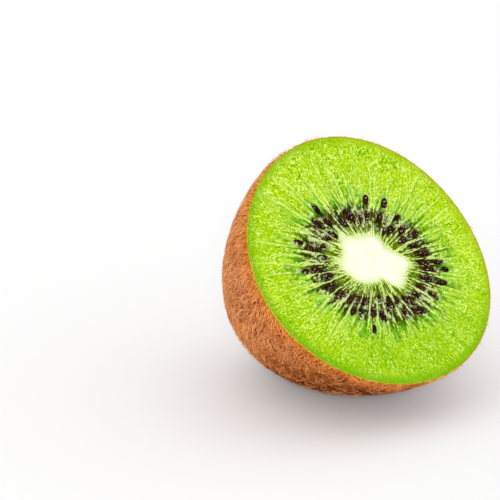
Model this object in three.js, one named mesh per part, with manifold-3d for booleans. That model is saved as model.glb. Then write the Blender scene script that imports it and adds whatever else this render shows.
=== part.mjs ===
// Half of a ripe green kiwi fruit, cut across its middle. It leans back on its
// rounded rind, on a small flat spot, with the cut face turned up and forward.
//
// All sizes are in millimetres. The fruit's own frame has its origin in the
// middle of the cut face, with X across the face, Y up the slope of the face and
// Z out of it. The finished half stands with +Z up and its flat spot at the origin.

import * as THREE from "three";
import { mergeVertices } from "three/addons/utils/BufferGeometryUtils.js";
import Module from "manifold-3d";

// ---- Driving dimensions ----

// The cut face is nearly round: a little oval and a little three-sided.
const FACE_RADIUS = 25.6;
const OVALNESS = 0.014;
const OVAL_PHASE = 126;
const THREE_SIDEDNESS = 0.013;
const THREE_SIDED_PHASE = 143;

// The rounded end, from the cut face down to its tip.
const END_DEPTH = 35.3;
const TIP_OFFSET = new THREE.Vector2(-1.1, 1.9);
// The cut is this share of the end's depth past the fruit's widest place.
const CUT_PAST_MIDDLE = 0.15;
const RIND_STEPS_AROUND = 96;
const RIND_STEPS_DOWN = 17;

// How the half lies: the lean of the face, and the place of its middle over the
// flat spot. What would reach below the spot's plane is pressed flat.
const FACE_LEAN = 47.9;
const FACE_MIDDLE = new THREE.Vector3(0.4, -10.0, 28.25);

// The pale core runs down from the face along the fruit's axis. Its radii are
// taken at equal steps around the axis, from the phase on, turning from X to Y.
const AXIS_ON_FACE = new THREE.Vector2(0, -0.9);
const CORE_PHASE = 11.25;
const CORE_RADII = [5.8, 5.1, 6.2, 6.0, 6.2, 7.6, 6.3, 7.1, 6.3, 5.4, 4.5, 4.0, 3.8, 7.2, 7.0, 8.2];
const CORE_DEPTH = 30.5;
const CORE_GAP = 0.3;
const CORE_STEPS_AROUND = 48;
const CORE_STEPS_DOWN = 8;

// Locules: the narrow seed pockets that stand like spokes around the core. Each
// is turned from its even place by up to half of its unevenness times a step.
const LOCULE_COUNT = 37;
const LOCULE_LENGTH = 7.2;
const LOCULE_WIDTH = 1.25;
const LOCULE_DEPTH = 0.55;
const LOCULE_UNEVENNESS = 0.7;

// The seeds lie in a ring that is stretched along one slanting direction. Each
// locule's first seed is drawn from a band that starts inside the ring. Some have
// a second seed, which lies one to one and a half spacings further out.
const RING_RADIUS = 11.2;
const RING_STRETCH = 1.4;
const RING_SLANT = -21;
const BAND_START = 2.6;
const BAND_WIDTH = 3.4;
const SECOND_SEED_SHARE = 0.55;
const SECOND_SEED_SPACING = 2.5;
const SECOND_SEED_SPREAD = 1.2;
const SECOND_SEED_SIDEWAYS = 2.6;
const SEED_LENGTH = 2.3;
const SEED_WIDTH = 1.15;
const SEED_THICKNESS = 1.1;
const SEED_SIZE_SPREAD = 0.16;
const SEED_SINK = 0.25;
const SEED_TWIST = 16;
const SEED_DRAW = 26708;

// The woody scar in its dimple at the tip of the rounded end.
const DIMPLE_SIZE = new THREE.Vector3(8.4, 8.4, 1.8);
const SCAR_SIZE = new THREE.Vector3(5.2, 3.4, 2.0);
const SCAR_SINK = 0.7;

const TURN = 2 * Math.PI;
const radians = THREE.MathUtils.degToRad;

// ---- Small helpers ----

// A repeatable random number from 0 to 1 for one item and one use of it.
function draw(item, use) {
  const wave = Math.sin(item * 12.9898 + use * 78.233 + SEED_DRAW * 0.6180339887) * 43758.5453;
  return wave - Math.floor(wave);
}

function onFace(centre, radius, angle, height = 0) {
  return new THREE.Vector3(centre.x + radius * Math.cos(angle), centre.y + radius * Math.sin(angle), height);
}

// A closed skin over a stack of rings that run from +Z to -Z, each turning from X
// to Y. A fan to a point closes the first ring and the last one.
function loft(rings, firstPoint, lastPoint) {
  const count = rings[0].length;
  const points = [firstPoint, ...rings.flat(), lastPoint];
  const lastRing = rings.length - 1;
  const at = (ring, step) => 1 + ring * count + (step % count);
  const triangles = [];
  for (let step = 0; step < count; step++) {
    triangles.push(0, at(0, step), at(0, step + 1));
    for (let ring = 0; ring < lastRing; ring++) {
      triangles.push(at(ring, step), at(ring + 1, step), at(ring + 1, step + 1));
      triangles.push(at(ring, step), at(ring + 1, step + 1), at(ring, step + 1));
    }
    triangles.push(points.length - 1, at(lastRing, step + 1), at(lastRing, step));
  }
  const geometry = new THREE.BufferGeometry().setFromPoints(points);
  geometry.setIndex(triangles);
  return geometry;
}

// ---- Joining and cutting ----

const manifold = await Module();
manifold.setup();

function toSolid(geometry) {
  const bare = geometry.clone();
  bare.deleteAttribute("normal");
  bare.deleteAttribute("uv");
  const merged = mergeVertices(bare);
  return new manifold.Manifold(new manifold.Mesh({
    numProp: 3,
    vertProperties: new Float32Array(merged.attributes.position.array),
    triVerts: new Uint32Array(merged.index.array),
  }));
}

function toGeometry(solid) {
  const mesh = solid.getMesh();
  const geometry = new THREE.BufferGeometry();
  geometry.setAttribute("position", new THREE.BufferAttribute(mesh.vertProperties, 3));
  geometry.setIndex(new THREE.BufferAttribute(mesh.triVerts, 1));
  geometry.computeVertexNormals();
  return geometry;
}

function joinAll(geometries) {
  return geometries.map(toSolid).reduce((whole, piece) => whole.add(piece));
}

// ---- The rounded body ----

function faceRadius(angle) {
  const oval = OVALNESS * Math.cos(2 * angle + radians(OVAL_PHASE));
  const threeSided = THREE_SIDEDNESS * Math.cos(3 * angle + radians(THREE_SIDED_PHASE));
  return FACE_RADIUS * (1 + oval + threeSided);
}

// The rings follow a slightly oblique half ellipsoid from the cut to the tip.
function roundedBody() {
  const firstLatitude = Math.asin(CUT_PAST_MIDDLE);
  const rings = [];
  for (let down = 0; down < RIND_STEPS_DOWN; down++) {
    const latitude = THREE.MathUtils.lerp(firstLatitude, Math.PI / 2, down / RIND_STEPS_DOWN);
    const fraction = (Math.sin(latitude) - CUT_PAST_MIDDLE) / (1 - CUT_PAST_MIDDLE);
    const scale = Math.cos(latitude) / Math.cos(firstLatitude);
    const centre = TIP_OFFSET.clone().multiplyScalar(fraction);
    const ring = [];
    for (let step = 0; step < RIND_STEPS_AROUND; step++) {
      const angle = TURN * step / RIND_STEPS_AROUND;
      ring.push(onFace(centre, scale * faceRadius(angle), angle, -fraction * END_DEPTH));
    }
    rings.push(ring);
  }
  return loft(rings, new THREE.Vector3(), new THREE.Vector3(TIP_OFFSET.x, TIP_OFFSET.y, -END_DEPTH));
}

// ---- The core and the hollow that it fills ----

const coreOutline = new THREE.CatmullRomCurve3(
  CORE_RADII.map((radius, index) => {
    const angle = radians(CORE_PHASE) + TURN * index / CORE_RADII.length;
    return onFace(new THREE.Vector2(), radius, angle);
  }),
  true,
  "catmullrom",
);

// A column with the core's outline that narrows to a rounded end. It is grown by
// a margin on every side, and its top stands at the given height over the face.
function coreColumn(margin, top) {
  const rings = [];
  const depth = CORE_DEPTH + margin;
  const outline = coreOutline.getPoints(CORE_STEPS_AROUND).slice(0, CORE_STEPS_AROUND);
  const outward = outline.map((point, step) => {
    const along = coreOutline.getTangent(step / CORE_STEPS_AROUND);
    return new THREE.Vector3(along.y, -along.x, 0);
  });
  const tipShift = TIP_OFFSET.clone().sub(AXIS_ON_FACE).multiplyScalar(depth / END_DEPTH);
  const centreAt = (fraction) => AXIS_ON_FACE.clone().addScaledVector(tipShift, fraction);
  const ringAt = (fraction, height) => {
    const centre = centreAt(fraction);
    const scale = Math.sqrt(1 - fraction * fraction);
    return outline.map((point, step) => point.clone().multiplyScalar(scale)
      .addScaledVector(outward[step], margin)
      .add(new THREE.Vector3(centre.x, centre.y, height)));
  };
  if (top > 0) {
    rings.push(ringAt(0, top));
  }
  for (let down = 0; down < CORE_STEPS_DOWN; down++) {
    const fraction = Math.sin(Math.PI / 2 * down / CORE_STEPS_DOWN);
    rings.push(ringAt(fraction, -fraction * depth));
  }
  const tip = centreAt(1);
  return loft(
    rings,
    new THREE.Vector3(AXIS_ON_FACE.x, AXIS_ON_FACE.y, top),
    new THREE.Vector3(tip.x, tip.y, -depth),
  );
}

// ---- Locules and seeds ----

// A low stretched ball whose long axis points away from the fruit's axis.
function spoke(radius, angle, length, width, thickness, height, twist = 0) {
  const ball = new THREE.SphereGeometry(0.5, 6, 4);
  ball.scale(width, length, thickness);
  ball.rotateZ(angle - Math.PI / 2 + twist);
  const place = onFace(AXIS_ON_FACE, radius, angle, height);
  return ball.translate(place.x, place.y, place.z);
}

function loculeAngle(locule) {
  return TURN * (locule + LOCULE_UNEVENNESS * (draw(locule, 1) - 0.5)) / LOCULE_COUNT;
}

function ringRadius(angle) {
  return RING_RADIUS + RING_STRETCH * Math.cos(2 * (angle - radians(RING_SLANT)));
}

function loculePockets() {
  const pockets = [];
  for (let locule = 0; locule < LOCULE_COUNT; locule++) {
    const angle = loculeAngle(locule);
    pockets.push(spoke(ringRadius(angle), angle, LOCULE_LENGTH, LOCULE_WIDTH, 2 * LOCULE_DEPTH, 0));
  }
  return pockets;
}

function seedAt(radius, angle, item) {
  const size = 1 + SEED_SIZE_SPREAD * (2 * draw(item, 6) - 1);
  const twist = radians(SEED_TWIST) * (2 * draw(item, 7) - 1);
  return spoke(radius, angle, size * SEED_LENGTH, size * SEED_WIDTH, SEED_THICKNESS, -SEED_SINK, twist);
}

function seeds() {
  const ring = [];
  for (let locule = 0; locule < LOCULE_COUNT; locule++) {
    const angle = loculeAngle(locule);
    const first = ringRadius(angle) - BAND_START + BAND_WIDTH * draw(locule, 2);
    ring.push(seedAt(first, angle, locule));
    if (draw(locule, 4) < SECOND_SEED_SHARE) {
      const second = first + SECOND_SEED_SPACING + SECOND_SEED_SPREAD * draw(locule, 3);
      const sideways = radians(SECOND_SEED_SIDEWAYS) * (2 * draw(locule, 5) - 1);
      ring.push(seedAt(second, angle + sideways, locule + LOCULE_COUNT));
    }
  }
  return ring;
}

// ---- The scar at the tip ----

// A flattened ball at the tip, sunk into the fruit from its surface.
function tipBall(size, sink) {
  const ball = new THREE.SphereGeometry(0.5, 14, 8);
  ball.rotateX(Math.PI / 2);
  ball.scale(size.x, size.y, size.z);
  return ball.translate(TIP_OFFSET.x, TIP_OFFSET.y, sink - END_DEPTH);
}

// ---- The two pieces and how they stand ----

const half = new THREE.Group();
half.rotation.x = radians(FACE_LEAN);
half.position.copy(FACE_MIDDLE);
half.updateMatrixWorld();

// A block below the resting plane, turned into the fruit's own frame.
function groundBlock() {
  const size = 4 * FACE_RADIUS;
  const block = new THREE.BoxGeometry(size, size, size).translate(0, 0, -size / 2);
  return block.applyMatrix4(half.matrixWorld.clone().invert());
}

function fleshGeometry() {
  const body = toSolid(roundedBody())
    .subtract(toSolid(coreColumn(CORE_GAP, 1)))
    .subtract(joinAll(loculePockets()))
    .subtract(toSolid(tipBall(DIMPLE_SIZE, 0)))
    .add(joinAll(seeds()))
    .add(toSolid(tipBall(SCAR_SIZE, SCAR_SINK)))
    .subtract(toSolid(groundBlock()));
  return toGeometry(body);
}

function addPiece(name, geometry, color, roughness) {
  const material = new THREE.MeshStandardMaterial({ color, roughness, metalness: 0 });
  const piece = new THREE.Mesh(geometry, material);
  piece.name = name;
  half.add(piece);
}

addPiece("flesh", fleshGeometry(), "#9bd61e", 0.45);
addPiece("core", coreColumn(0, 0), "#f4f6dc", 0.5);

const kiwiHalf = new THREE.Group();
kiwiHalf.add(half);

export default kiwiHalf;
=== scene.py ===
"""Half of a ripe green kiwi fruit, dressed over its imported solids.

Lengths are written in millimetres and turned into metres when a mesh is made. The
fruit's own frame has its origin in the middle of the cut face, X across the face,
Y up its slope and Z out of it, as in the part's source.
"""

import math
from collections import namedtuple

import bpy
import numpy as np
from mathutils import Matrix, Vector


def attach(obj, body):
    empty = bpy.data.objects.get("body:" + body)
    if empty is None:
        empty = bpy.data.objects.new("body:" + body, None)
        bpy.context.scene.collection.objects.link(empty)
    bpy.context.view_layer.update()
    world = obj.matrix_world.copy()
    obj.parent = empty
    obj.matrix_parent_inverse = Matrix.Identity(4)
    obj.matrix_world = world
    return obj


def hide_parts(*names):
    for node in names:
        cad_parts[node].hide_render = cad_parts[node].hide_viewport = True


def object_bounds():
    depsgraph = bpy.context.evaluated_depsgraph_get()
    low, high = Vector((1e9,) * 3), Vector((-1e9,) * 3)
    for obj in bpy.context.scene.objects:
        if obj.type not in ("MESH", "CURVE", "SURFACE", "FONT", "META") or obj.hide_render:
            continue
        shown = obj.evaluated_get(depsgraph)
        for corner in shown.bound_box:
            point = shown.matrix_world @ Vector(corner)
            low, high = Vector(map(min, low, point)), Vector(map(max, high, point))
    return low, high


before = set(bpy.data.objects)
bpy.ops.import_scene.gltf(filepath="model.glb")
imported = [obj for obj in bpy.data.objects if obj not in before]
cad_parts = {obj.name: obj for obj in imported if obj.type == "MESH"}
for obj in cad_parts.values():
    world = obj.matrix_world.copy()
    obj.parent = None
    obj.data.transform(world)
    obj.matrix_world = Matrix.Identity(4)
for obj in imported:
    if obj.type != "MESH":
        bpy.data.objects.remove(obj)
cad_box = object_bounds()

# ---- Driving dimensions, as in the part's source ----

MM = 0.001
TURN = 2 * math.pi

FACE_RADIUS = 25.6
OVALNESS, OVAL_PHASE = 0.014, math.radians(126)
THREE_SIDEDNESS, THREE_SIDED_PHASE = 0.013, math.radians(143)

END_DEPTH = 35.3
TIP_OFFSET = np.array([-1.1, 1.9])
CUT_PAST_MIDDLE = 0.15

FACE_LEAN = math.radians(47.9)
FACE_MIDDLE = np.array([0.4, -10.0, 28.25])

AXIS_ON_FACE = np.array([0.0, -0.9])
CORE_PHASE = math.radians(11.25)
CORE_RADII = [5.8, 5.1, 6.2, 6.0, 6.2, 7.6, 6.3, 7.1, 6.3, 5.4, 4.5, 4.0, 3.8, 7.2, 7.0, 8.2]
CORE_DEPTH = 30.5

LOCULE_COUNT = 37
LOCULE_LENGTH = 7.2
LOCULE_WIDTH = 1.25
LOCULE_DEPTH = 0.55
LOCULE_UNEVENNESS = 0.7

RING_RADIUS = 11.2
RING_STRETCH = 1.4
RING_SLANT = math.radians(-21)
BAND_START = 2.6
BAND_WIDTH = 3.4
SECOND_SEED_SHARE = 0.55
SECOND_SEED_SPACING = 2.5
SECOND_SEED_SPREAD = 1.2
SECOND_SEED_SIDEWAYS = math.radians(2.6)
SEED_LENGTH = 2.3
SEED_WIDTH = 1.15
SEED_THICKNESS = 1.1
SEED_SIZE_SPREAD = 0.16
SEED_SINK = 0.25
SEED_TWIST = math.radians(16)
SEED_DRAW = 26708

DIMPLE_SIZE = (8.4, 8.4, 1.8)
SCAR_SIZE = (5.2, 3.4, 2.0)
SCAR_SINK = 0.7

# ---- Sizes of the finish ----

RIND_THICKNESS = 0.16
FLESH_UNDER_RIND = RIND_THICKNESS - 0.02
FLESH_END = DIMPLE_SIZE[2] / 2 + RIND_THICKNESS - END_DEPTH
HOLLOW_INSET = 0.7
LEAST_HEIGHT = 0.02

FACE_STEPS_AROUND = 720
FACE_STEPS_OUT = 130
HIDDEN_STEPS_AROUND = 180
SIDE_STEPS_DOWN = 14
HOLLOW_FRACTIONS = (0.75, 0.45, 0.2, 0.04)

# ---- Numbers and noise ----

NOISE_ROWS = 256
NOISE_SEEDS = {
    "patches": 11, "strands": 12, "fuzz": 13, "sway": 14, "threads": 15, "core edge": 21,
    "rind lumps": 31, "rind pores": 32, "fibre bends": 51, "fibre kinks": 52, "fibre beads": 53,
    "ray bends": 61, "ray kinks": 62, "ray beads": 63, "scar lobes": 71, "scar cracks": 72,
    "scar chips": 73, "hair swirls": 91,
}


def draw(item, use):
    """A repeatable random number from 0 to 1 for one item and one use of it.

    Uses 1 to 7 place and size the locules and seeds, and are the same in the part's source.
    """
    wave = np.sin(item * 12.9898 + use * 78.233 + SEED_DRAW * 0.6180339887) * 43758.5453
    return wave - np.floor(wave)


def smooth(low, high, value):
    """0 below low, 1 above high and a soft step between them."""
    share = np.clip((value - low) / (high - low), 0, 1)
    return share * share * (3 - 2 * share)


def lattice_noise(name, across, along, cells):
    """Smooth noise from 0 to 1. The first coordinate wraps round after that many cells."""
    table = np.random.default_rng(NOISE_SEEDS[name]).random((cells, NOISE_ROWS))
    column = np.floor(across).astype(int)
    row = np.floor(along).astype(int)
    u = smooth(0, 1, across - column)
    v = smooth(0, 1, along - row)

    def corner(right, up):
        return table[(column + right) % cells, (row + up) % NOISE_ROWS]

    near = corner(0, 0) * (1 - u) + corner(1, 0) * u
    far = corner(0, 1) * (1 - u) + corner(1, 1) * u
    return near * (1 - v) + far * v


def spoke_noise(name, angle, radius, cells, length):
    """Noise in cells of that length, so many around, that point away from the fruit's axis."""
    return lattice_noise(name, angle / TURN % 1 * cells, radius / length, cells)


# ---- Places in the fruit's own frame ----


def face_radius(angle):
    oval = OVALNESS * np.cos(2 * angle + OVAL_PHASE)
    three_sided = THREE_SIDEDNESS * np.cos(3 * angle + THREE_SIDED_PHASE)
    return FACE_RADIUS * (1 + oval + three_sided)


def core_radius(angle):
    """A smooth closed curve through the core's radii at equal steps around the axis."""
    count = len(CORE_RADII)
    place = (angle - CORE_PHASE) / TURN % 1 * count
    step = np.floor(place).astype(int)
    u = place - step
    nearby = (np.take(CORE_RADII, (step + k) % count) for k in (-1, 0, 1, 2))
    before, here, after, later = nearby
    bend = 2 * before - 5 * here + 4 * after - later
    twist = 3 * (here - after) + later - before
    return here + 0.5 * u * (after - before + u * (bend + u * twist))


def even_angles(count):
    return TURN * np.arange(count) / count


def polar(radius, angle, height=0.0, centre=(0, 0)):
    """Places at that radius and angle round a centre."""
    x = centre[0] + radius * np.cos(angle)
    y = centre[1] + radius * np.sin(angle)
    return np.stack(np.broadcast_arrays(x, y, height), axis=-1)


def skin_point(angle, fraction):
    """A point of the rind, fraction of the way in depth from the cut to the tip."""
    latitude_sine = CUT_PAST_MIDDLE + fraction * (1 - CUT_PAST_MIDDLE)
    scale = np.sqrt(np.maximum(0, 1 - latitude_sine**2) / (1 - CUT_PAST_MIDDLE**2))
    flat = polar(scale * face_radius(angle), angle, -fraction * END_DEPTH)
    flat[..., :2] += fraction[..., None] * TIP_OFFSET
    return flat


def skin_normal(angle, fraction):
    small = 1e-4
    around = skin_point(angle + small, fraction) - skin_point(angle - small, fraction)
    inner = np.minimum(fraction + small, 1 - small)
    down = skin_point(angle, inner) - skin_point(angle, inner - small)
    normal = np.cross(down, around)
    return normal / np.linalg.norm(normal, axis=-1, keepdims=True)


def latitude_at(share):
    """The rind's latitude at a share of the way from the cut, 0, to the tip, 1."""
    start = math.asin(CUT_PAST_MIDDLE)
    return start + (math.pi / 2 - start) * share


def fraction_at(latitude):
    return (np.sin(latitude) - CUT_PAST_MIDDLE) / (1 - CUT_PAST_MIDDLE)


def even_fractions(count, first, last):
    """A column of depth fractions whose rings are about evenly spaced over the rind."""
    return fraction_at(latitude_at(np.linspace(first, last, count)))[:, None]


LEAN = np.array(Matrix.Rotation(FACE_LEAN, 3, "X"))


def stand(points):
    """Points of the fruit's own frame as they stand, in millimetres, none below the floor."""
    placed = points @ LEAN.T + FACE_MIDDLE
    placed[..., 2] = np.maximum(placed[..., 2], LEAST_HEIGHT)
    return placed


# ---- Mesh making ----

# The kind of a mesh attribute and the name of its values, by how many numbers a point has.
LAYER_KINDS = {
    1: ("FLOAT", "value"),
    3: ("FLOAT_VECTOR", "vector"),
    4: ("FLOAT_COLOR", "color"),
}


def make_mesh(name, points, faces, attributes, smooth_faces=True):
    """A mesh object from standing points in millimetres and rows of corner numbers."""
    mesh = bpy.data.meshes.new(name)
    corners = np.concatenate([rows.ravel() for rows in faces]).astype(np.int32)
    sizes = np.concatenate([np.full(len(rows), rows.shape[1]) for rows in faces])
    starts = (np.cumsum(sizes) - sizes).astype(np.int32)
    mesh.vertices.add(len(points))
    mesh.vertices.foreach_set("co", (points * MM).astype(np.float32).ravel())
    mesh.loops.add(len(corners))
    mesh.loops.foreach_set("vertex_index", corners)
    mesh.polygons.add(len(sizes))
    mesh.polygons.foreach_set("loop_start", starts)
    mesh.polygons.foreach_set("use_smooth", np.full(len(sizes), smooth_faces))
    mesh.update(calc_edges=True)
    mesh.validate()
    for key, values in attributes.items():
        kind, values_name = LAYER_KINDS[values[0].size]
        layer = mesh.attributes.new(key, kind, "POINT")
        layer.data.foreach_set(values_name, values.astype(np.float32).ravel())
    piece = bpy.data.objects.new(name, mesh)
    bpy.context.scene.collection.objects.link(piece)
    return piece


def ring_faces(rings, around, flip=False):
    """Quads between rings of equal counts, ring by ring."""
    ring = np.arange(rings - 1)[:, None] * around
    next_ring = ring + around
    step = np.arange(around)[None, :]
    after = (step + 1) % around
    quads = np.stack([ring + step, next_ring + step, next_ring + after, ring + after], axis=-1)
    quads = quads.reshape(-1, 4)
    return quads[:, ::-1] if flip else quads


def fan_faces(first, around, tip, flip=False):
    """Triangles from one ring of points to a tip."""
    step = np.arange(around)
    fan = np.stack([np.full(around, tip), first + step, first + (step + 1) % around], axis=-1)
    return fan[:, ::-1] if flip else fan


def lofted(name, rings, first_tip, last_tip, attributes):
    """A closed piece over rings in the fruit's own frame, with a point at each end."""
    count, around = rings.shape[:2]
    points = np.concatenate([rings.reshape(-1, 3), [first_tip], [last_tip]])
    total = count * around
    faces = [
        ring_faces(count, around),
        fan_faces(0, around, total),
        fan_faces(total - around, around, total + 1, flip=True),
    ]
    return make_mesh(name, stand(points), faces, attributes)


# ---- Materials ----


def rgb(red, green, blue):
    """A screen colour from 0 to 255 as the linear colour that a shader takes."""

    def linear(value):
        share = value / 255
        return share / 12.92 if value <= 10 else ((share + 0.055) / 1.055) ** 2.4

    return (linear(red), linear(green), linear(blue), 1.0)


class Nodes:
    """A new material, with short calls for its nodes."""

    def __init__(self, name, **values):
        """The values are those of the Principled shader's sockets."""
        self.material = bpy.data.materials.new(name)
        self.material.use_nodes = True
        self.tree = self.material.node_tree
        self.shader = self.tree.nodes["Principled BSDF"]
        for socket, value in values.items():
            self.shader.inputs[socket.replace("_", " ")].default_value = value

    def link(self, source, target):
        """Lead another node's socket, or set a plain value, into a socket."""
        if isinstance(source, bpy.types.NodeSocket):
            self.tree.links.new(source, target)
        else:
            target.default_value = source

    def add(self, kind, inputs, **settings):
        """A node with its settings, and with sockets or plain values led into its inputs."""
        node = self.tree.nodes.new(kind)
        for key, value in settings.items():
            setattr(node, key, value)
        for key, source in inputs.items():
            self.link(source, node.inputs[key])
        return node

    def attribute(self, name, kind="Fac"):
        """An attribute of the mesh as one number, or as its Color, Vector or Alpha."""
        return self.add("ShaderNodeAttribute", {}, attribute_name=name).outputs[kind]

    def channels(self, name):
        """The four numbers of an attribute."""
        split = self.add("ShaderNodeSeparateColor", {0: self.attribute(name, "Color")})
        return *split.outputs, self.attribute(name, "Alpha")

    def axes(self, name):
        """The three numbers of an attribute."""
        return tuple(self.add("ShaderNodeSeparateXYZ", {0: self.attribute(name, "Vector")}).outputs)

    def millimetres(self):
        """A place in the standing fruit, in millimetres."""
        place = self.add("ShaderNodeTexCoord", {}).outputs["Object"]
        inputs = {0: place, "Scale": 1 / MM}
        return self.add("ShaderNodeVectorMath", inputs, operation="SCALE").outputs[0]

    def noise(self, place, scale, detail=2.0, roughness=0.5, dimensions="3D"):
        inputs = {"Vector": place, "Scale": scale, "Detail": detail, "Roughness": roughness}
        return self.add("ShaderNodeTexNoise", inputs, noise_dimensions=dimensions).outputs["Fac"]

    def step(self, value, low, high, bottom=0.0):
        """From bottom to 1 by a soft step as the value goes from low to high."""
        inputs = {"Value": value, "From Min": low, "From Max": high, "To Min": bottom}
        node = self.add("ShaderNodeMapRange", inputs, interpolation_type="SMOOTHSTEP")
        return node.outputs["Result"]

    def math(self, operation, first, second):
        return self.add("ShaderNodeMath", {0: first, 1: second}, operation=operation).outputs[0]

    def total(self, *parts):
        """The sum of some values, each with its weight."""
        result = 0.0
        for value, weight in parts:
            inputs = {0: value, 1: weight, 2: result}
            result = self.add("ShaderNodeMath", inputs, operation="MULTIPLY_ADD").outputs[0]
        return result

    def mix(self, share, first, second):
        """The first colour where the share is 0 and the second where it is 1."""
        inputs = {"Factor": share, 6: first, 7: second}
        return self.add("ShaderNodeMix", inputs, data_type="RGBA").outputs[2]

    def tint(self, base, share, weight, colour):
        """The base with that weight of a screen colour over it where the share is 1."""
        return self.mix(self.math("MULTIPLY", share, weight), base, rgb(*colour))

    def finish(self, base, relief=0.0, height=0.0):
        """The material with its base colour and the bump of a fine relief of that height."""
        self.link(base, self.shader.inputs["Base Color"])
        if height:
            bump = self.add("ShaderNodeBump", {"Height": relief, "Distance": height * MM})
            self.link(bump.outputs[0], self.shader.inputs["Normal"])
        return self.material


# ---- The cut face: places around the fruit's axis ----


def locule_angles():
    locule = np.arange(LOCULE_COUNT)
    return TURN * (locule + LOCULE_UNEVENNESS * (draw(locule, 1) - 0.5)) / LOCULE_COUNT


def ring_radius(angle):
    return RING_RADIUS + RING_STRETCH * np.cos(2 * (angle - RING_SLANT))


def from_axis(points):
    """Radius and angle of places around the fruit's axis."""
    offset = points[..., :2] - AXIS_ON_FACE
    radius = np.hypot(offset[..., 0], offset[..., 1])
    return radius, np.arctan2(offset[..., 1], offset[..., 0]) % TURN


def turned_by(angle, other):
    """How far one angle is turned from another, from minus to plus half a turn."""
    return (angle - other + math.pi) % TURN - math.pi


def seed_places():
    """Radius, angle and item number of every seed, by the same rule as in the part's source."""
    places = []
    angles = locule_angles()
    for locule in range(LOCULE_COUNT):
        angle = angles[locule]
        first = ring_radius(angle) - BAND_START + BAND_WIDTH * draw(locule, 2)
        places.append((first, angle, locule))
        if draw(locule, 4) < SECOND_SEED_SHARE:
            second = first + SECOND_SEED_SPACING + SECOND_SEED_SPREAD * draw(locule, 3)
            sideways = SECOND_SEED_SIDEWAYS * (2 * draw(locule, 5) - 1)
            places.append((second, angle + sideways, locule + LOCULE_COUNT))
    return places


def seed_size(item):
    return 1 + SEED_SIZE_SPREAD * (2 * draw(item, 6) - 1)


def seed_turn(angle, item):
    """The turn of a seed's long side from the face's Y axis."""
    return angle - math.pi / 2 + SEED_TWIST * (2 * draw(item, 7) - 1)


# ---- The cut face: fibres, granules and zones ----

FIBRE_WIDENING = 0.004
FIBRE_WANDER = 0.24
FIBRE_REACH = math.radians(7)
BEND_LENGTH, KINK_LENGTH, BEAD_LENGTH = 3.1, 0.9, 0.55
GROOVE_PLACE = 1.9
PLACE_SPREAD = 0.2

Fibre = namedtuple("Fibre", "place from_core starts ends strengths half_width")

# Places run from the middle of one locule, 0, to the middle of the next, 1. Starts are measured
# from the core's edge or from the ring, and ends from the ring.
FIBRE_KINDS = (
    Fibre(0.5, True, (0.0, 0.4), (2.0, 8.0), (0.6, 1.0), 0.12),
    Fibre(0.02, True, (0.0, 0.5), (-4.4, -2.0), (0.4, 1.0), 0.1),
    Fibre(0.25, False, (-4.5, -1.0), (0.0, 5.0), (0.2, 0.8), 0.1),
    Fibre(0.75, False, (-4.5, -1.0), (0.0, 5.0), (0.2, 0.8), 0.1),
    Fibre(0.12, False, (1.0, 3.0), (4.0, 8.5), (0.3, 0.8), 0.1),
)

RAY_COUNT = 150
RAY_STARTS = (0.5, 5.0)
RAY_LENGTHS = (1.5, 8.0)
RAY_UPWARD = 0.5
RAY_HALF_WIDTH = 0.1

SPOKE_FINENESS = 60
SPOKE_SHORTNESS = 1.3
GRAIN_FINENESS = 12.5
GRAIN_SPREADING = 0.5
# The side of the face towards which a painted light makes the rim's green lighter and yellower.
SUNNY_SIDE = math.radians(15)
GRANULE_ROW = 0.72
GRANULE_COLUMN = 0.52

# Where the zones of the face fade, in millimetres outwards from the ring of seeds.
INNER_FADES = (-4.4, -2.4)
SEED_BAND_FADES = (0.8, 3.4)
OUTER_STARTS = (0.6, 2.2)
OUTER_FADES = (2.5, 6.5)

# Heights of the face's relief in millimetres.
STREAK_HEIGHT = 0.6
RAY_HEIGHT = 0.12
RAY_GROOVE_DEPTH = 0.1
GEL_HEIGHT = 0.25
GRANULE_HEIGHT = 0.1
FUZZ_HEIGHT = 0.05
RIM_ROUNDING = 0.12


def drawn_from(limits, item, use):
    low, high = limits
    return low + (high - low) * draw(item, use)


def fibre_presence(radius, angle, fibres, family):
    """How much of a thin wandering radial fibre, and of the groove along it, each place shows."""
    shares = np.zeros((2, *radius.shape))
    for number, (centre, start, end, strength, half_width) in enumerate(fibres):
        near = np.abs(turned_by(angle, centre)) < FIBRE_REACH
        r = radius[near]
        own = np.full(r.shape, number + 0.5)
        bend = lattice_noise(f"{family} bends", own, r / BEND_LENGTH, NOISE_ROWS) - 0.5
        kink = lattice_noise(f"{family} kinks", own, r / KINK_LENGTH, NOISE_ROWS) - 0.5
        beads = lattice_noise(f"{family} beads", own, r / BEAD_LENGTH, NOISE_ROWS)
        wander = FIBRE_WANDER * (2 * bend + 0.7 * kink)
        sideways = r * np.sin(turned_by(angle[near], centre)) - wander
        width = (half_width + FIBRE_WIDENING * r) * (0.75 + 0.5 * beads)
        groove_side = GROOVE_PLACE if number % 2 else -GROOVE_PLACE
        along = strength * smooth(-0.6, 0.6, r - start) * (1 - smooth(-2.4, 0.4, r - end))
        fibre = (0.45 + 0.55 * beads) * along * np.exp(-((sideways / width) ** 2))
        # The groove runs along one side of the fibre: it is sunk in the relief and darkened in the
        # colour as painted shade.
        groove = along * np.exp(-((sideways / width - groove_side) ** 2))
        shares[:, near] = np.maximum(shares[:, near], [fibre, groove])
    return shares


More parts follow.
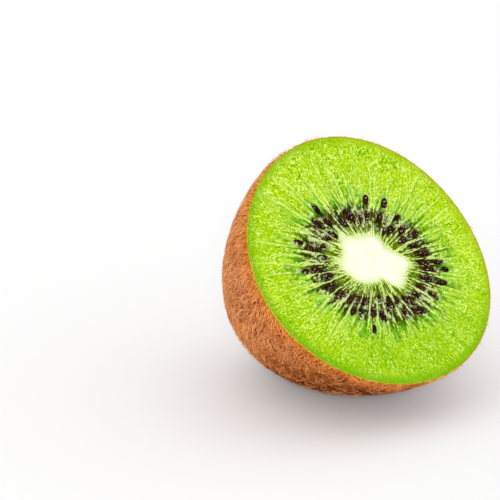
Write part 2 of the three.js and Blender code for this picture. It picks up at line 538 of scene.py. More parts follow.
def septum_fibres(radius, angle):
    """The pale fibres between and beside the locules, from the core outwards."""
    centres = locule_angles()
    gaps = (np.roll(centres, -1) - centres) % TURN
    fibres = []
    for number, kind in enumerate(FIBRE_KINDS):
        item = np.arange(LOCULE_COUNT) + 100 * (number + 1)
        turned = centres + (kind.place + PLACE_SPREAD * (draw(item, 11) - 0.5)) * gaps
        base = core_radius(turned) if kind.from_core else ring_radius(turned)
        starts = base + drawn_from(kind.starts, item, 12)
        ends = ring_radius(turned) + drawn_from(kind.ends, item, 13)
        strengths = drawn_from(kind.strengths, item, 14)
        fibres += zip(turned, starts, ends, strengths, np.full(LOCULE_COUNT, kind.half_width))
    return fibre_presence(radius, angle, fibres, "fibre")


def flesh_rays(radius, angle):
    """Fainter streaks in the flesh beyond the locules, longer in the upper half of the face."""
    item = np.arange(RAY_COUNT) + 1000
    centres = TURN * (np.arange(RAY_COUNT) + draw(item, 15)) / RAY_COUNT
    starts = ring_radius(centres) + drawn_from(RAY_STARTS, item, 16)
    ends = starts + drawn_from(RAY_LENGTHS, item, 17) * (1 + RAY_UPWARD * np.sin(centres))
    strengths = 0.15 + 0.85 * draw(item, 18) ** 1.5
    rays = zip(centres, starts, ends, strengths, np.full(RAY_COUNT, RAY_HALF_WIDTH))
    return fibre_presence(radius, angle, rays, "ray")


def granule_and_glint_share(radius, angle, stretch):
    """Bright granules of the flesh, longer along the radius by the given stretch: pale juice sacs,
    with painted wet glints among them.
    """
    row = np.floor(radius / GRANULE_ROW)
    share = np.zeros_like(radius)
    for row_step in (-1, 0, 1):
        each_row = row + row_step
        columns = np.maximum(6, np.round(TURN * (each_row + 0.5) * GRANULE_ROW / GRANULE_COLUMN))
        column = np.floor(angle / TURN * columns)
        for column_step in (-1, 0, 1):
            each = (column + column_step) % columns
            item = each_row * 997 + each
            granule_radius = (each_row + 0.5 + 0.9 * (draw(item, 21) - 0.5)) * GRANULE_ROW
            granule_angle = (each + 0.5 + 0.9 * (draw(item, 22) - 0.5)) / columns * TURN
            size = 0.11 + 0.09 * draw(item, 23)
            along = (radius - granule_radius) / (size * stretch)
            across = radius * np.sin(turned_by(angle, granule_angle)) / size
            bright = 0.2 + 0.8 * draw(item, 24) ** 1.4
            share = np.maximum(share, bright * np.exp(-(along**2) - across**2))
    return share


def around_seeds(points):
    """Closeness to a seed's edge, and the gel that covers the outer end of a seed, from 0 to 1."""
    close = np.zeros(points.shape[:-1])
    veil = np.zeros(points.shape[:-1])
    for radius, angle, item in seed_places():
        middle = polar(radius, angle, 0.0, AXIS_ON_FACE)[..., :2]
        x, y = np.moveaxis(points[..., :2] - middle, -1, 0)
        turn = seed_turn(angle, item)
        size = seed_size(item)
        across = (x * math.cos(turn) + y * math.sin(turn)) / (size * SEED_WIDTH / 2)
        along = (y * math.cos(turn) - x * math.sin(turn)) / (size * SEED_LENGTH / 2)
        beyond = np.hypot(across, along) - 1
        close = np.maximum(close, 1 - smooth(0.05, 0.9, beyond))
        cap_place = 1.05 + 0.35 * draw(item, 31)
        cap_side = 1.2 * (draw(item, 32) - 0.5)
        cap = np.exp(-(((along - cap_place) / 0.3) ** 2) - ((across - cap_side) / 0.75) ** 2)
        veil = np.maximum(veil, cap * (0.35 + 0.65 * draw(item, 33)))
    return close, veil


def face_zones(points):
    """How far each place of the cut face belongs to each zone, from 0 to 1, and its relief."""
    radius, angle = from_axis(points)
    ringward = radius - ring_radius(angle)
    coreward = radius - core_radius(angle)
    side_angle = np.arctan2(points[..., 1], points[..., 0])
    outward = face_radius(side_angle) - np.hypot(points[..., 0], points[..., 1])

    sway = 0.7 * (spoke_noise("sway", angle, radius, 48, 5.0) - 0.5)
    swayed = angle + sway / radius
    patches = spoke_noise("patches", angle, radius, 64, 2.6)
    strands = spoke_noise("strands", swayed, radius, 200, 2.6)
    threads = spoke_noise("threads", swayed, radius, 340, 1.3)
    fuzz = spoke_noise("fuzz", angle, radius, 260, 0.45)
    fibre, groove = septum_fibres(radius, angle)
    ray, ray_groove = flesh_rays(radius, angle)
    close, veil = around_seeds(points)
    granule_and_glint = granule_and_glint_share(radius, angle, 1.3) * smooth(1.0, 4.0, coreward)
    streak = 0.4 * strands + 0.26 * threads + 0.24 * fuzz + 0.42 * fibre
    # Painted shade: the streaks are darker in the grooves beside the fibres and round the seeds'
    # edges.
    streak = streak - 0.28 * groove - 0.1 * close

    ragged = 1.6 * (strands - 0.5) + 0.8 * (fuzz - 0.5)
    past_inner = smooth(*INNER_FADES, ringward + ragged)
    inner = smooth(-0.2, 0.9, coreward) * (1 - past_inner)
    seed_band = past_inner * (1 - smooth(*SEED_BAND_FADES, ringward + 1.3 * ragged))
    past_outer = smooth(*OUTER_FADES, ringward + 2.5 * ragged)
    outer = smooth(*OUTER_STARTS, ringward) * (1 - past_outer)
    lump = smooth(0.6, 0.72, 0.5 * fuzz + 0.5 * threads)
    gel = np.clip(veil * smooth(0.35, 0.6, fuzz + 0.25 * veil) + 0.5 * seed_band * lump, 0, 1)
    rim = (1 - smooth(0.3, 2.4, outward)) * (0.8 + 0.2 * patches)
    cream = 1 - smooth(-0.4, 0.7, coreward - 1.6 * (strands - 0.5) - 1.2 * (fuzz - 0.5))
    # Painted shade: a share that makes the face darker towards its bottom.
    low = smooth(6.0, 20.0, -points[..., 1])

    locule = np.argmin(np.abs(turned_by(angle[..., None], locule_angles())), axis=-1)
    sideways = radius * np.sin(turned_by(angle, locule_angles()[locule]))
    bowl = 1 - (ringward / (LOCULE_LENGTH / 2)) ** 2 - (sideways / (LOCULE_WIDTH / 2)) ** 2
    relief = -LOCULE_DEPTH * np.sqrt(np.clip(bowl, 0, 1)) * (0.7 + 0.5 * fuzz)
    streaky = np.maximum(seed_band, 0.7 * np.maximum(inner, outer))
    relief += STREAK_HEIGHT * (streak - 0.5) * streaky
    relief += RAY_HEIGHT * ray - RAY_GROOVE_DEPTH * ray_groove + GEL_HEIGHT * gel * veil
    relief += GRANULE_HEIGHT * (granule_and_glint - 0.3) * (1 - 0.6 * rim) + FUZZ_HEIGHT * (fuzz - 0.5)
    relief -= RIM_ROUNDING * (1 - smooth(0, 0.5, outward)) ** 2
    shares = {
        "zones": np.stack([inner, seed_band, outer, gel], axis=-1),
        "edges": np.stack([rim, cream, granule_and_glint, low], axis=-1),
        "lines": np.stack([streak, ray, ray_groove], axis=-1),
    }
    return shares, relief


def inset_skin(angle, fraction, depth):
    return skin_point(angle, fraction) - depth * skin_normal(angle, fraction)


def core_ring(fraction, depth, around, grow=0.0):
    """A ring of the core's column, fraction of the way down a column of that depth."""
    angle = even_angles(around)
    scale = math.sqrt(1 - fraction**2)
    centre = AXIS_ON_FACE + (TIP_OFFSET - AXIS_ON_FACE) * (depth / END_DEPTH) * fraction
    return polar(scale * core_radius(angle) + grow, angle, -fraction * depth, centre)


def joining_faces(few_first, few, many_first, many):
    """Triangles between a ring of few points and a ring of a whole multiple of them."""
    ratio = many // few
    faces = []
    for step in range(few):
        after = (step + 1) % few
        for part in range(ratio):
            here = step * ratio + part
            faces.append([few_first + step, many_first + here, many_first + (here + 1) % many])
        faces.append([few_first + step, many_first + after * ratio, few_first + after])
    return np.array(faces)


def cut_face(around):
    """Rings of the cut face from the core's hollow out to the rim, flat as yet."""
    angle = even_angles(around)
    inner_edge = polar(core_radius(angle) - HOLLOW_INSET, angle, 0.0, AXIS_ON_FACE)
    rim_point = inset_skin(angle, np.zeros(1), FLESH_UNDER_RIND)
    rim_point[:, 2] = 0
    share = np.linspace(0, 1, FACE_STEPS_OUT)[:, None, None]
    return inner_edge + share * (rim_point - inner_edge)


def hidden_rings(around):
    """Rings of the core's hollow from its end upwards, and of the side from the rim down."""
    angle = even_angles(around)
    hollow = np.stack([
        core_ring(fraction, CORE_DEPTH, around, -HOLLOW_INSET) for fraction in HOLLOW_FRACTIONS
    ])
    side = inset_skin(angle, even_fractions(SIDE_STEPS_DOWN, 0.01, 0.97), FLESH_UNDER_RIND)
    side[..., 2] = np.maximum(side[..., 2], FLESH_END)
    return hollow, side


def make_flesh():
    """The green flesh: a finely cut face, a side just inside the rind and the core's hollow."""
    around = FACE_STEPS_AROUND
    face = cut_face(around)
    shares, relief = face_zones(face)
    radius, turn = from_axis(face)
    into_hollow = 1 - smooth(-HOLLOW_INSET, -0.1, radius - core_radius(turn))
    face[..., 2] = relief - 0.5 * into_hollow

    few = HIDDEN_STEPS_AROUND
    hollow, side = hidden_rings(few)
    hollow_end = core_ring(0.85, CORE_DEPTH, 4, -HOLLOW_INSET).mean(axis=0)
    tip = np.array([*TIP_OFFSET, FLESH_END])
    rings = [part.reshape(-1, 3) for part in (face, hollow, side)]
    points = np.concatenate([*rings, [hollow_end], [tip]])

    hollow_first = face.shape[0] * around
    side_first = hollow_first + hollow.shape[0] * few
    last_hollow = side_first - few
    last_side = len(points) - 2 - few
    quads = [
        ring_faces(face.shape[0], around),
        ring_faces(hollow.shape[0], few) + hollow_first,
        ring_faces(side.shape[0], few) + side_first,
    ]
    triangles = [
        joining_faces(last_hollow, few, 0, around),
        joining_faces(side_first, few, hollow_first - around, around)[:, ::-1],
        fan_faces(hollow_first, few, len(points) - 2),
        fan_faces(last_side, few, len(points) - 1, flip=True),
    ]
    spokes = polar(SPOKE_FINENESS, turn, radius * SPOKE_SHORTNESS)
    # Painted light: 1 towards the face's right and 0 towards its left, kept as the grain's third
    # number.
    sunny = 0.5 + 0.5 * np.cos(np.arctan2(face[..., 1], face[..., 0]) - SUNNY_SIDE)
    grain = polar(GRAIN_FINENESS * radius**GRAIN_SPREADING, turn, sunny)
    hidden = len(points) - hollow_first

    def with_hidden(values):
        flat = values.reshape(-1, values.shape[-1])
        return np.concatenate([flat, np.repeat(flat[-1:], hidden, axis=0)])

    shares |= {"spokes": spokes, "grain": grain}
    attributes = {key: np.squeeze(with_hidden(values)) for key, values in shares.items()}
    faces = [np.concatenate(quads), np.concatenate(triangles)]
    return make_mesh("kiwi_flesh", stand(points), faces, attributes)


def flesh_material():
    n = Nodes(
        "wet green flesh", Roughness=0.3, Specular_IOR_Level=0.02,
        Subsurface_Weight=0.12, Subsurface_Scale=0.001, Subsurface_Radius=(0.9, 1.0, 0.25),
    )
    inner, seed_band, outer, gel = n.channels("zones")
    rim, cream, granule_and_glint, low = n.channels("edges")
    face_streak, ray, ray_groove = n.axes("lines")
    grain = n.attribute("grain", "Vector")
    spokes = n.attribute("spokes", "Vector")
    place = n.millimetres()

    broad = n.noise(place, 0.16, 2)
    grit = n.noise(place, 3.0, 1)
    cell = n.noise(grain, 1.0, 2, 0.6, dimensions="2D")
    thread = n.noise(grain, 0.6, 1, dimensions="2D")
    strand = n.noise(spokes, 1.0, 3, 0.6)
    bundle = n.noise(spokes, 0.22, 2)
    tuft = n.total((cell, 0.36), (strand, 0.14), (grit, 0.35), (bundle, 0.15))
    streak = n.total((face_streak, 1.05), (thread, 0.45), (strand, 0.1), (grit, 0.5))
    light = n.step(streak, 1.02, 1.11)
    dark = n.step(streak, 0.99, 0.89)

    def streaked(middle, pale, deep):
        return n.mix(dark, n.mix(light, rgb(*middle), rgb(*pale)), rgb(*deep))

    # The open flesh, with grains that are stronger in some patches than in others. Their pale
    # flecks are partly painted wet glints.
    base = n.mix(n.step(broad, 0.35, 0.65), rgb(160, 200, 0), rgb(174, 208, 2))
    grainy = n.step(n.noise(place, 0.42, 2), 0.36, 0.6, bottom=0.5)
    base = n.tint(base, n.step(tuft, 0.5, 0.41), grainy, (98, 160, 0))
    base = n.tint(base, n.step(tuft, 0.52, 0.59), grainy, (222, 245, 134))
    # Pale granule flecks, partly painted as wet glints.
    base = n.tint(base, n.step(granule_and_glint, 0.25, 0.9), 0.7, (226, 246, 146))

    # The deeper green at the rim, lighter and yellower towards the sunny side as painted light, and
    # a painted shade over the lower part of the face.
    rim_green_and_painted_light = n.mix(n.axes("grain")[2], rgb(104, 164, 0), rgb(158, 184, 4))
    base = n.mix(n.math("MULTIPLY", rim, 0.75), base, rim_green_and_painted_light)
    # Painted shade: a deeper green towards the bottom of the face, stronger at the rim.
    lower_weight = n.math("ADD", n.math("MULTIPLY", rim, 0.3), 0.25)
    base = n.tint(base, low, lower_weight, (98, 166, 0))

    # The locules' outer ends, with emerald between the rays.
    outer_green = streaked((114, 164, 0), (218, 240, 128), (46, 118, 0))
    base = n.mix(n.math("MULTIPLY", outer, 0.8), base, outer_green)
    emerald = n.math("MULTIPLY", outer, n.step(bundle, 0.48, 0.58))
    base = n.tint(base, emerald, 0.65, (80, 172, 0))
    # Painted shade: a darker strip in the groove along one side of each ray.
    base = n.tint(base, ray_groove, 0.35, (98, 160, 0))
    base = n.tint(base, ray, 0.85, (226, 248, 134))

    # The streaks round the core, the seeds' dark band with its gel, and the core's edge.
    base = n.mix(inner, base, streaked((124, 150, 4), (206, 226, 134), (78, 106, 0)))
    base = n.mix(seed_band, base, streaked((92, 98, 12), (192, 210, 134), (50, 58, 2)))
    base = n.mix(gel, base, rgb(202, 216, 158))
    base = n.mix(cream, base, rgb(224, 234, 168))
    return n.finish(base, tuft, 0.25)


# ---- The core ----

CORE_STEPS_AROUND = 256
CORE_STEPS_OUT = 40
CORE_STEPS_DOWN = 12
CORE_OVERLAP = 0.35
CORE_HEIGHT = 0.06
CORE_EDGE_DROP = 0.16
CORE_EDGE_RELIEF = 0.2
CORE_EDGE_FRAYING = 1.1


def make_core():
    """The pale column through the flesh, with a soft frayed edge on the cut face."""
    around = CORE_STEPS_AROUND
    angle = even_angles(around)
    shares = np.linspace(0.04, 1, CORE_STEPS_OUT)[:, None]
    radius = shares * (core_radius(angle) + CORE_OVERLAP)
    top = polar(radius, angle, 0.0, AXIS_ON_FACE)
    from_edge = core_radius(angle) - radius
    streak = spoke_noise("core edge", angle, radius, 190, 1.6)
    near_edge = 1 - smooth(-CORE_OVERLAP, 1.2, from_edge)
    edge_height = CORE_EDGE_RELIEF * (streak - 0.5) - CORE_EDGE_DROP
    top[..., 2] = CORE_HEIGHT + edge_height * near_edge
    column = np.stack([
        core_ring(fraction, CORE_DEPTH, around, CORE_OVERLAP - 0.5 * min(1, 8 * fraction))
        for fraction in np.sin(np.linspace(0.02, 1.5, CORE_STEPS_DOWN))
    ])
    rings = np.concatenate([top, column])
    edge = 1 - smooth(-CORE_OVERLAP, 1.7, from_edge + CORE_EDGE_FRAYING * (streak - 0.5))
    edge = np.concatenate([edge, np.repeat(edge[-1:], len(column), axis=0)]).ravel()
    edge = np.concatenate([edge, edge[:1], edge[-1:]])
    middle = np.array([*AXIS_ON_FACE, CORE_HEIGHT])
    tip = core_ring(0.9999, CORE_DEPTH, 4).mean(axis=0)
    return lofted("kiwi_core", rings, middle, tip, {"edge": edge})


def core_material():
    n = Nodes(
        "pale core", Roughness=0.45, Specular_IOR_Level=0.2,
        Subsurface_Weight=0.4, Subsurface_Scale=0.002, Subsurface_Radius=(1.0, 1.0, 0.6),
    )
    place = n.millimetres()
    soft = n.noise(place, 0.35, 3)
    fine = n.noise(place, 2.4, 3, 0.6)
    base = n.mix(n.step(soft, 0.35, 0.7), rgb(236, 238, 219), rgb(232, 235, 209))
    base = n.tint(base, n.step(fine, 0.5, 0.7), 0.35, (242, 243, 228))
    base = n.mix(n.attribute("edge"), base, rgb(220, 232, 150))
    return n.finish(base, fine, 0.05)


# ---- The seeds ----

SEED_STEPS_AROUND = 14
SEED_STEPS_ALONG = 11
SEED_BELLY = 0.22


def seed_shape():
    """One seed along Y: a flattened drop, narrower at the end that faces the core."""
    around = SEED_STEPS_AROUND
    latitude = np.linspace(-math.pi / 2, math.pi / 2, SEED_STEPS_ALONG + 2)[1:-1, None]
    angle = even_angles(around)
    along = np.sin(latitude) * np.ones_like(angle)
    belly = np.cos(latitude) * (1 + SEED_BELLY * np.sin(latitude))
    rings = np.stack([belly * np.cos(angle), along, belly * np.sin(angle)], axis=-1) / 2
    total = rings.shape[0] * around
    points = np.concatenate([rings.reshape(-1, 3), [[0, -0.5, 0]], [[0, 0.5, 0]]])
    quads = ring_faces(rings.shape[0], around, flip=True)
    fans = np.concatenate([
        fan_faces(0, around, total, flip=True),
        fan_faces(total - around, around, total + 1),
    ])
    return points, quads, fans


def make_seeds():
    """All the seeds as one piece, each with its own tone and its own share of gel."""
    points, quads, fans = seed_shape()
    all_points, all_quads, all_fans, tones, veils = [], [], [], [], []
    for number, (radius, angle, item) in enumerate(seed_places()):
        turned = np.array(Matrix.Rotation(seed_turn(angle, item), 3, "Z"))
        size = seed_size(item)
        scaled = points * [size * SEED_WIDTH, size * SEED_LENGTH, SEED_THICKNESS]
        all_points.append(scaled @ turned.T + polar(radius, angle, -SEED_SINK, AXIS_ON_FACE))
        all_quads.append(quads + number * len(points))
        all_fans.append(fans + number * len(points))
        tones.append(np.full(len(points), draw(item, 9)))
        side = 2 * draw(item, 8) - 1
        veils.append(0.5 * points[:, 1] + 0.4 * side * points[:, 0] + 0.45 * draw(item, 10))
    faces = [np.concatenate(all_quads), np.concatenate(all_fans)]
    attributes = {"tone": np.concatenate(tones), "veil": np.concatenate(veils)}
    return make_mesh("kiwi_seeds", stand(np.concatenate(all_points)), faces, attributes)


def seed_material():
    n = Nodes("dark seed", Roughness=0.25, Specular_IOR_Level=0.05)
    place = n.millimetres()
    pits_and_painted_sheen = n.noise(place, 5.0, 3, 0.6)
    film = n.noise(place, 2.2, 3, 0.7)
    glint = n.noise(place, 3.0, 2)
    base = n.mix(n.attribute("tone"), rgb(14, 2, 0), rgb(46, 14, 6))
    # Lighter reddish-brown patches: partly the seeds' own tint, partly a painted dull sheen.
    base = n.tint(base, n.step(pits_and_painted_sheen, 0.54, 0.68), 0.7, (114, 64, 46))
    # Painted highlights: small pale glints on the seeds.
    base = n.mix(n.step(glint, 0.64, 0.68), base, rgb(214, 190, 170))
    covered = n.total((n.attribute("veil"), 1.0), (film, 1.4))
    base = n.mix(n.step(covered, 1.2, 1.32), base, rgb(176, 196, 140))
    return n.finish(base, pits_and_painted_sheen, 0.06)


# ---- The rind ----

RIND_STEPS_AROUND = 300
RIND_STEPS_DOWN = 104
RIND_LAST = 0.985
RIND_INSET = 0.02
LIP_HEIGHT = 0.02
INNER_SKIN_STEP = 12
RIM_BAND = 3.6
# How much of the painted shade under the fruit is taken off near the rim.
RIM_LIGHTNESS = 0.8
LIP_BAND = (0.96, 1.0)

# How many bumps there are around and down the rind, and their height in millimetres.
RIND_RELIEF = (("rind lumps", 60, 24, 0.1), ("rind pores", 150, 60, 0.06))


def tip_distance(points):
    """How far places are from the line down to the tip, seen along that line."""
    return np.hypot(points[..., 0] - TIP_OFFSET[0], points[..., 1] - TIP_OFFSET[1])


def dimpled(points):
    """Points of the rind with those near the tip raised into the dimple around the scar."""
    across = np.clip(tip_distance(points) / (DIMPLE_SIZE[0] / 2), 0, 1)
    hollow = DIMPLE_SIZE[2] / 2 * np.sqrt(1 - across**2) - END_DEPTH
    raised = points.copy()
    depth = points[..., 2]
    raised[..., 2] = np.where(depth < -0.9 * END_DEPTH, np.maximum(depth, hollow), depth)
    return raised


def underside(normals):
    """1 where the rind faces the floor, 0 where it faces sideways or up."""
    return smooth(0.25, 0.85, -(normals @ LEAN.T)[..., 2])


def make_rind():
    """A thin closed shell over the flesh, whose edge shows round the cut face."""
    angle = even_angles(RIND_STEPS_AROUND)
    fractions = even_fractions(RIND_STEPS_DOWN, 0.0, RIND_LAST)
    outer = skin_point(angle, fractions)
    normals = skin_normal(angle, fractions)
    lift = sum(
        height * (lattice_noise(name, angle / TURN * around, fractions * down, around) - 0.5)
        for name, around, down, height in RIND_RELIEF
    )
    lift *= smooth(0.0, 0.03, fractions)
    outer_skin = dimpled(outer + (lift - RIND_INSET)[..., None] * normals)
    inner_skin = dimpled(outer[::INNER_SKIN_STEP])
    inner_skin -= RIND_THICKNESS * normals[::INNER_SKIN_STEP]
    inner_skin[0, :, 2] = 0
    outer_skin[0, :, 2] = 0
    lip = outer[:1] - 0.5 * RIND_THICKNESS * normals[:1]
    lip[..., 2] = LIP_HEIGHT
    rings = np.concatenate([inner_skin[::-1], lip, outer_skin])
    dimple_bottom = DIMPLE_SIZE[2] / 2 - END_DEPTH
    inner_tip = np.array([*TIP_OFFSET, dimple_bottom + RIND_THICKNESS])
    outer_tip = np.array([*TIP_OFFSET, dimple_bottom])
    rimward = 1 - smooth(0.0, RIM_BAND, -rings[..., 2].ravel())
    # below: painted shade where the rind faces the floor, with less of it near the rim.
    below = underside(normals)
    below = np.concatenate([below[::INNER_SKIN_STEP][::-1], below[:1], below]).ravel()
    below *= 1 - RIM_LIGHTNESS * rimward
    attributes = {"rimward": np.append(rimward, [0, 0]), "below": np.append(below, [1, 1])}
    return lofted("kiwi_rind", rings, inner_tip, outer_tip, attributes)


def rind_material():
    n = Nodes("brown rind", Roughness=0.75, Specular_IOR_Level=0.02)
    place = n.millimetres()
    broad = n.noise(place, 0.12, 3)
    mottle = n.noise(place, 0.9, 4, 0.65)
    fine = n.noise(place, 4.0, 3, 0.6)
    rimward = n.attribute("rimward")
    base = n.mix(n.step(broad, 0.35, 0.65), rgb(138, 64, 22), rgb(158, 82, 32))
    base = n.mix(n.step(mottle, 0.45, 0.7), base, rgb(92, 36, 8))
    base = n.tint(base, n.step(fine, 0.5, 0.72), 0.5, (196, 122, 62))
    base = n.tint(base, rimward, 0.65, (212, 120, 42))
    # Painted shade: darker where the rind faces the floor.
    base = n.tint(base, n.attribute("below"), 0.8, (66, 20, 2))
    lip = n.mix(n.step(mottle, 0.4, 0.6), rgb(168, 156, 22), rgb(206, 182, 60))
    base = n.mix(n.step(rimward, *LIP_BAND), base, lip)
    return n.finish(base, n.math("ADD", mottle, fine), 0.12)


# ---- The woody scar at the tip ----

SCAR_STEPS_AROUND = 72
SCAR_STEPS_DOWN = 26
SCAR_ROUGHNESS = 0.32


def make_scar():
    """A cracked woody plug in the dimple, rougher towards its rim."""
    angle = even_angles(SCAR_STEPS_AROUND)
    latitude = np.linspace(-math.pi / 2, math.pi / 2, SCAR_STEPS_DOWN + 2)[1:-1, None]
    height = np.sin(latitude)
    spread = np.cos(latitude)
    lobes = lattice_noise("scar lobes", angle / TURN * 9, height * 1.2 + 4, 9) - 0.5
    cracks = lattice_noise("scar cracks", angle / TURN * 22, height * 3 + 8, 22) - 0.5
    chips = lattice_noise("scar chips", angle / TURN * 40, height * 7 + 20, 40) - 0.5
    size = 1 + SCAR_ROUGHNESS * (0.7 * lobes + 0.5 * cracks + 0.3 * chips)
    x = TIP_OFFSET[0] + size * spread * np.cos(angle) * SCAR_SIZE[0] / 2
    y = TIP_OFFSET[1] + size * spread * np.sin(angle) * SCAR_SIZE[1] / 2
    sunken = 0.35 * (1 - smooth(0.2, 0.75, spread))
    z = SCAR_SINK - END_DEPTH + (height + sunken * (height < 0)) * SCAR_SIZE[2] / 2
    z = z + 0.12 * (cracks + chips) * (height < 0)
    rings = np.stack([x, y, z], axis=-1)[::-1]
    first_tip = rings[0].mean(axis=0)
    last_tip = rings[-1].mean(axis=0)
    depth = np.append((chips + cracks)[::-1].ravel() + 0.5, [0.5, 0.5])
    return lofted("kiwi_scar", rings, first_tip, last_tip, {"depth": depth})


def scar_material():
    n = Nodes("woody scar", Roughness=0.85, Specular_IOR_Level=0.15)
    place = n.millimetres()
    grain = n.noise(place, 2.2, 4, 0.7)
    fine = n.noise(place, 7.0, 2)
    base = n.mix(n.step(grain, 0.35, 0.65), rgb(58, 34, 28), rgb(112, 76, 58))
    base = n.mix(n.step(n.attribute("depth"), 0.4, 0.0), base, rgb(34, 18, 16))
    base = n.tint(base, n.step(fine, 0.5, 0.7), 0.4, (158, 120, 96))
    return n.finish(base, n.math("ADD", grain, fine), 0.15)


# ---- The hairs ----

# Lengths and rises are ranges to draw from. A rise is the angle at which a hair leaves the rind,
# and the disorder is how far, in radians, its heading strays from its neighbours'.
Hair = namedtuple("Hair", "name count seed length thickness rise disorder segments dark light")

DOWN_BROWNS = (104, 40, 12), (212, 118, 60)
HAIR_BROWNS = (186, 100, 50), (252, 184, 122)
FUZZ_BROWNS = (170, 88, 40), (250, 178, 116)
BRISTLE_BROWNS = (186, 104, 52), (250, 194, 134)

HAIR_KINDS = (
    Hair("kiwi_down", 42000, 41, (0.5, 1.1), 0.09, (0.3, 1.1), 1.2, 1, *DOWN_BROWNS),
    Hair("kiwi_hairs", 11000, 42, (1.6, 3.1), 0.13, (0.2, 0.6), 0.35, 3, *HAIR_BROWNS),
    Hair("kiwi_fuzz", 11000, 44, (1.0, 2.2), 0.13, (0.6, 1.3), 0.4, 2, *FUZZ_BROWNS),
    Hair("kiwi_bristles", 4600, 43, (1.2, 2.8), 0.1, (0.6, 1.4), 0.9, 3, *BRISTLE_BROWNS),
)
HAIR_SHARE = 1.0

# Where the hairs start past the rim, as a share of the way to the tip.
HAIRS_START = 0.002
# How high a hair stands at most, and how much of the tip is bare, in millimetres.
MOST_STANDING = 1.5
BARE_TIP = 2.5
# Shares: how hairs hang down, lie flatter under the fruit, keep their length at the rim, stray
# more there, and lie down and get thinner towards their tips.
HAIR_FALL = 0.5
LYING_BELOW = 0.65
RIM_LENGTH = 0.6
RIM_DISORDER = 0.2
TIP_FLATTENING = 0.5
TIP_NARROWING = 0.55
# How far hairs swirl in tufts, and how far they curl towards their tips, in radians.
SWIRL = 0.9
CURL = 0.5
# How far the hairs may stand out of the solids' box, in millimetres.
BOX_ALLOWANCE = np.array([0.7, 0.65, 1.0])


def skin_samples(count, seed):
    """Places spread evenly over the rind: points, normals, downward directions and swirls."""
    rng = np.random.default_rng(seed)
    tries = 3 * count
    angle = TURN * rng.random(tries)
    latitude = latitude_at(HAIRS_START + (RIND_LAST - HAIRS_START) * rng.random(tries))
    fraction = fraction_at(latitude)
    wanted = rng.random(tries) < np.cos(latitude)
    wanted &= tip_distance(skin_point(angle, fraction)) > BARE_TIP
    angle, fraction = angle[wanted][:count], fraction[wanted][:count]
    normal = skin_normal(angle, fraction)
    down = skin_point(angle, fraction + 1e-3) - skin_point(angle, fraction)
    down /= np.linalg.norm(down, axis=-1, keepdims=True)
    swirl = SWIRL * (2 * lattice_noise("hair swirls", angle / TURN * 30, fraction * 9, 30) - 1)
    return dimpled(skin_point(angle, fraction)), normal, down, swirl, rng


def hair_faces(count, segments):
    """Faces of some three-sided hairs, each with its rings of points and then its tip."""
    tip = 3 * segments
    pattern = [[0, 2, 1]]
    for low in range(0, tip, 3):
        for corner in range(3):
            here = low + corner
            after = low + (corner + 1) % 3
            if low + 3 < tip:
                pattern.append([here, after, after + 3])
                pattern.append([here, after + 3, here + 3])
            else:
                pattern.append([here, after, tip])
    firsts = np.arange(count) * (tip + 1)
    return (np.array(pattern)[None] + firsts[:, None, None]).reshape(-1, 3)


def make_hairs(kind):
    """Tapering three-sided hairs that lie over the rind."""
    root, normal, down, swirl, rng = skin_samples(int(kind.count * HAIR_SHARE), kind.seed)
    count = len(root)
    fall = np.array([0, 0, -HAIR_FALL]) @ LEAN
    flow = down + fall - (normal @ fall)[:, None] * normal
    flow /= np.linalg.norm(flow, axis=-1, keepdims=True)
    rimward = 1 - smooth(0.0, 1.6 * RIM_BAND, -root[:, 2])
    stray = rng.normal(0, kind.disorder, count) * (1 + RIM_DISORDER * rimward)
    heading = (swirl + stray)[:, None]
    lying = np.cos(heading) * flow + np.sin(heading) * np.cross(normal, flow)
    size = rng.uniform(*kind.length, count)[:, None]
    size *= RIM_LENGTH + (1 - RIM_LENGTH) * smooth(0.0, 1.2, -root[:, 2:])
    under = underside(normal)
    rise = rng.uniform(*kind.rise, count)[:, None] * (1 - LYING_BELOW * under[:, None])
    rise = np.minimum(rise, np.arcsin(np.minimum(1, MOST_STANDING / size)))
    curl = rng.normal(0, CURL, count)[:, None]
    across = np.cross(normal, lying)

    def spot(share):
        bend = lying * np.cos(curl * share) + across * np.sin(curl * share)
        stand_up = rise * (1 - TIP_FLATTENING * share)
        return root + size * share * (np.cos(stand_up) * bend + np.sin(stand_up) * normal)

    rings = []
    for segment in range(kind.segments):
        share = segment / kind.segments
        radius = 0.5 * kind.thickness * (1 - TIP_NARROWING * share)
        for turn in even_angles(3):
            side = math.cos(turn) * across + math.sin(turn) * normal
            rings.append(spot(share) + radius * side)
    points = np.stack([*rings, spot(1.0)], axis=1)
    each = points.shape[1]
    attributes = {
        "tone": np.repeat(rng.random(count), each),
        "rimward": np.repeat(rimward, each),
        # below: painted shade under the fruit, with less of it near the rim.
        "below": np.repeat(under * (1 - RIM_LIGHTNESS * rimward), each),
    }
    low, high = np.array(cad_box) / MM
    placed = np.clip(stand(points.reshape(-1, 3)), low - BOX_ALLOWANCE, high + BOX_ALLOWANCE)
    faces = [hair_faces(count, kind.segments)]
    return make_mesh(kind.name, placed, faces, attributes, smooth_faces=False)


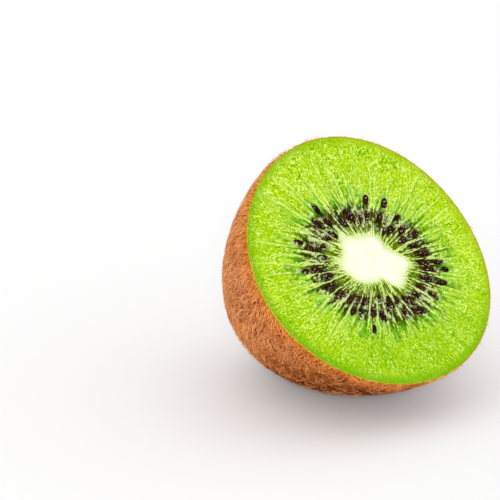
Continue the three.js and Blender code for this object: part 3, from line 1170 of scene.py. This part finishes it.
def hair_material(kind):
    """Orange towards the rim; under the fruit a painted shade makes the hairs redder and the dark
    ones darker.
    """
    n = Nodes(kind.name, Roughness=0.6, Specular_IOR_Level=0.02)
    patch = n.noise(n.millimetres(), 0.25, 3)
    tone = n.attribute("tone")
    rimward = n.attribute("rimward")
    below = n.attribute("below")
    base = n.mix(tone, rgb(*kind.dark), rgb(*kind.light))
    base = n.tint(base, n.step(patch, 0.5, 0.7), 0.3, (146, 72, 28))
    base = n.tint(base, rimward, 0.42, (246, 150, 60))
    base = n.tint(base, n.step(rimward, *LIP_BAND), 0.8, (220, 190, 84))
    # Painted shade under the fruit: redder hairs, and darker still where they are dark.
    base = n.tint(base, below, 0.4, (248, 128, 16))
    deep = n.math("POWER", below, 1.5)
    base = n.tint(base, deep, n.step(tone, 0.95, 0.45), (76, 18, 0))
    return n.finish(base)


# ---- Putting the fruit together ----


def dress(piece, material, slot, *nodes):
    """Give a piece its material and its body, and hide the solids that it stands for. The slot is
    not used.
    """
    piece.data.materials.append(material)
    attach(piece, "root")
    if nodes:
        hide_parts(*nodes)


dress(make_flesh(), flesh_material(), "flesh", "flesh")
dress(make_core(), core_material(), "core", "core")
dress(make_seeds(), seed_material(), "seed")
dress(make_rind(), rind_material(), "rind")
dress(make_scar(), scar_material(), "rind")
for hair_kind in HAIR_KINDS:
    dress(make_hairs(hair_kind), hair_material(hair_kind), "rind")

# ---- Floor, light and camera ----

# In metres, so that its end stays far from the fruit.
FLOOR_SIZE = 24.0
FLOOR_COLOUR = (0.98, 0.98, 0.98, 1)


def make_floor():
    mesh = bpy.data.meshes.new("floor")
    half = FLOOR_SIZE / 2
    corners = [(-half, -half, 0), (half, -half, 0), (half, half, 0), (-half, half, 0)]
    mesh.from_pydata(corners, [], [(0, 1, 2, 3)])
    floor = bpy.data.objects.new("floor", mesh)
    bpy.context.scene.collection.objects.link(floor)
    finish = Nodes("pale floor", Roughness=0.9, Specular_IOR_Level=0.0, Base_Color=FLOOR_COLOUR)
    mesh.materials.append(finish.material)


# Lights come from these directions, in the part's frame.
WORLD_STRENGTH = 0.85
KEY_STRENGTH = 1.3
KEY_FROM = (-0.55, -0.74, 0.38)
FILL_STRENGTH = 0.5
FILL_FROM = (-1.0, -0.3, 0.1)
LIGHT_ANGLE = math.radians(16)


def add_light(name, strength, origin):
    light = bpy.data.lights.new(name, "SUN")
    light.energy = strength
    light.angle = LIGHT_ANGLE
    lamp = bpy.data.objects.new(name, light)
    lamp.rotation_euler = (-Vector(origin)).to_track_quat("-Z", "Y").to_euler()
    bpy.context.scene.collection.objects.link(lamp)


def light_scene():
    """An even white surround, a soft key light before the face and a weak one from the left."""
    scene = bpy.context.scene
    scene.view_settings.view_transform = "Standard"
    world = bpy.data.worlds.new("studio")
    world.use_nodes = True
    background = world.node_tree.nodes["Background"]
    background.inputs["Color"].default_value = (1, 1, 1, 1)
    background.inputs["Strength"].default_value = WORLD_STRENGTH
    scene.world = world
    add_light("key", KEY_STRENGTH, KEY_FROM)
    add_light("fill", FILL_STRENGTH, FILL_FROM)


# The camera's distance from the middle of the face is in millimetres.
CAMERA_AZIMUTH = math.radians(-37.5)
CAMERA_ELEVATION = math.radians(20)
CAMERA_DISTANCE = 364
SENSOR_WIDTH = 36
FOCAL_PIXELS = 1930.6
PICTURE_PIXELS = 500
FACE_MIDDLE_PIXEL = (371.0, 258.7)
AIMING_ROUNDS = 8


def place_camera():
    """The camera looks past the fruit, so that the face's middle lands on its own pixel."""
    data = bpy.data.cameras.new("camera")
    data.sensor_width = SENSOR_WIDTH
    data.lens = FOCAL_PIXELS / PICTURE_PIXELS * SENSOR_WIDTH
    camera = bpy.data.objects.new("camera", data)
    back = Vector((
        math.sin(CAMERA_AZIMUTH) * math.cos(CAMERA_ELEVATION),
        -math.cos(CAMERA_AZIMUTH) * math.cos(CAMERA_ELEVATION),
        math.sin(CAMERA_ELEVATION),
    ))
    right_share = (FACE_MIDDLE_PIXEL[0] - PICTURE_PIXELS / 2) / FOCAL_PIXELS
    up_share = (PICTURE_PIXELS / 2 - FACE_MIDDLE_PIXEL[1]) / FOCAL_PIXELS
    forward = -back
    for _ in range(AIMING_ROUNDS):
        right = forward.cross(Vector((0, 0, 1))).normalized()
        up = right.cross(forward)
        reach = math.sqrt(1 + right_share**2 + up_share**2)
        forward = (-back * reach - right * right_share - up * up_share).normalized()
    camera.location = (Vector(FACE_MIDDLE) + back * CAMERA_DISTANCE) * MM
    camera.rotation_euler = forward.to_track_quat("-Z", "Y").to_euler()
    bpy.context.scene.collection.objects.link(camera)
    bpy.context.scene.camera = camera


make_floor()
light_scene()
place_camera()
